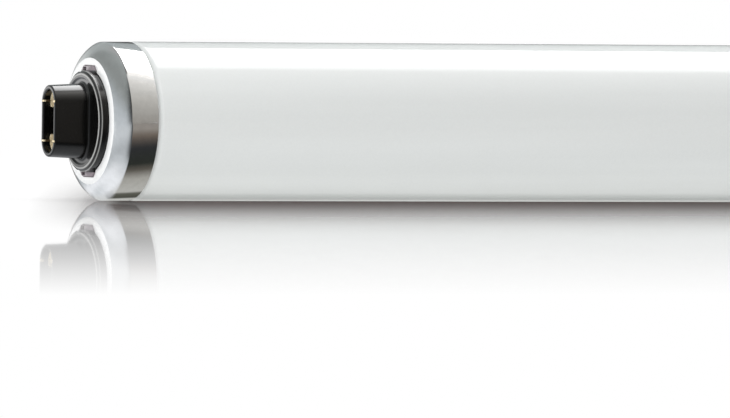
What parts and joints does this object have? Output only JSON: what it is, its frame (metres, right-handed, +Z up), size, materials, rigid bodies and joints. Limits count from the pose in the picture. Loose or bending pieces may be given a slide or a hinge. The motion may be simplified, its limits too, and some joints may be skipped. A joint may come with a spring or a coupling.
{
  "type": "fluorescent tube",
  "caption": "Straight white-coated fluorescent tube with drawn aluminium end caps and a black oval boss on each end that shelters recessed brass contacts.",
  "frame": {"origin": "middle of the tube, on its axis, which is also the centre of the bounding box", "axes": "+X along the tube, the end that the picture shows points to -X; +Z up, along the long way of the oval bosses"},
  "size_m": [0.5652, 0.038, 0.0382],
  "materials": {
    "coated_glass": "glossy glass, white coated inside, opaque",
    "aluminium": "drawn, finely brushed round the skirt, satin on the shoulder",
    "insulator": "black moulded thermoset, semi-gloss",
    "cement": "matt basing cement",
    "brass": "bright rolled strip",
    "lead_wire": "drawn nickel-plated wire"
  },
  "bodies": {
    "root": {"glass_tube": "coated_glass", "right_end_cap": "aluminium", "right_insulator": "insulator", "right_cement": "cement", "right_upper_contact": "brass", "right_upper_lead": "lead_wire", "right_lower_contact": "brass", "right_lower_lead": "lead_wire", "left_end_cap": "aluminium", "left_insulator": "insulator", "left_cement": "cement", "left_upper_contact": "brass", "left_upper_lead": "lead_wire", "left_lower_contact": "brass", "left_lower_lead": "lead_wire"}
  },
  "joints": []
}
